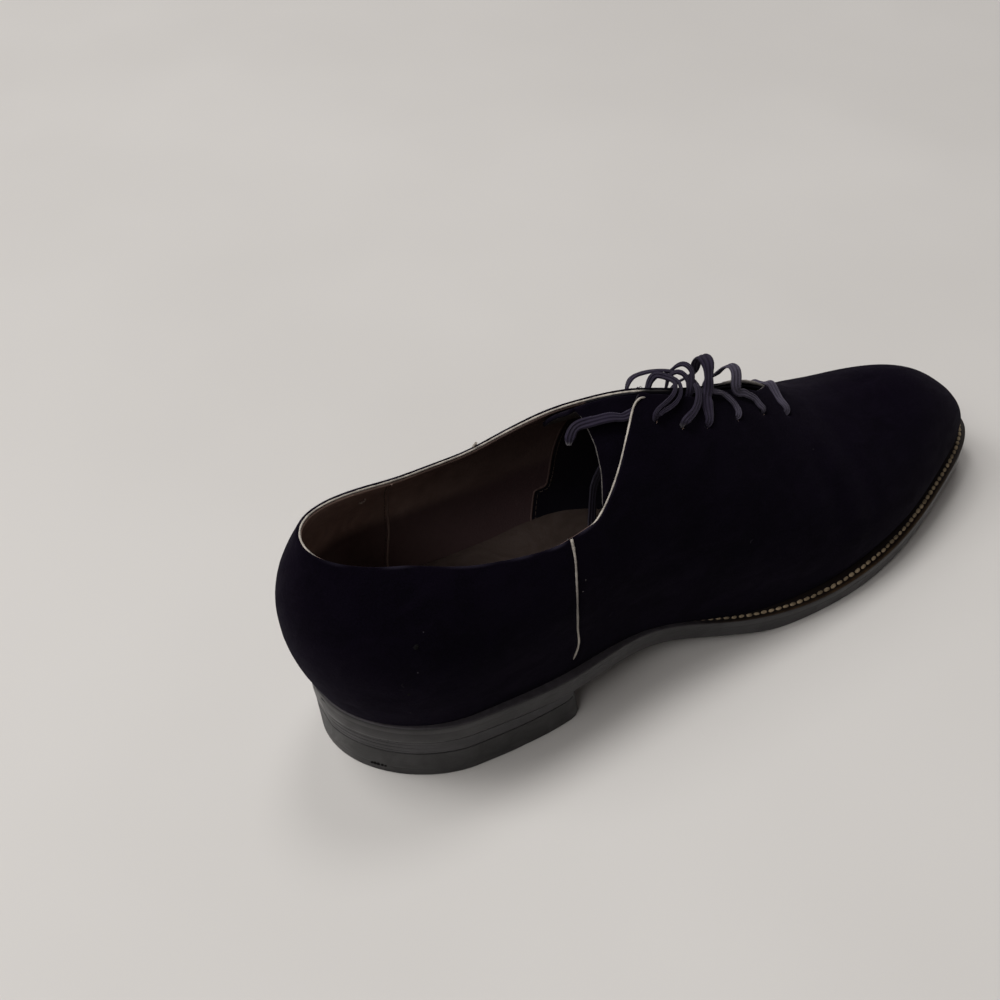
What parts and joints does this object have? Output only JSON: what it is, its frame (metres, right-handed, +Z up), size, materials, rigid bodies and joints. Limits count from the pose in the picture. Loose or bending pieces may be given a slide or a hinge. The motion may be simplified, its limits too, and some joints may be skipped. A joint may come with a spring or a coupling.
{
  "type": "oxford shoe",
  "caption": "Plain-fronted suede oxford for the right foot, closed lacing over a tongue, welted leather sole and low stacked heel, hollow inside.",
  "frame": {"origin": "middle of the shoe's plan box, on the floor that the sole stands on", "axes": "+X from heel to toe, +Y to the inner side of the foot, +Z up"},
  "size_m": [0.307, 0.09, 0.1056],
  "materials": {
    "black_leather_sole": "smooth black edge, satin",
    "black_rubber": "matt black",
    "midnight_suede": "napped suede, near-black navy",
    "brown_sock_leather": "smooth lining leather, matt",
    "plum_grey_lace": "flat woven lace"
  },
  "bodies": {
    "root": {"outsole": "black_leather_sole", "welt": "black_leather_sole", "heel_stack": "black_leather_sole", "top_lift": "black_rubber", "insole": "brown_sock_leather", "upper": "midnight_suede", "tongue": "midnight_suede", "lace_bars": "plum_grey_lace", "lace_loop_a": "plum_grey_lace", "lace_loop_b": "plum_grey_lace", "lace_end_a": "plum_grey_lace", "lace_end_b": "plum_grey_lace"}
  },
  "joints": []
}
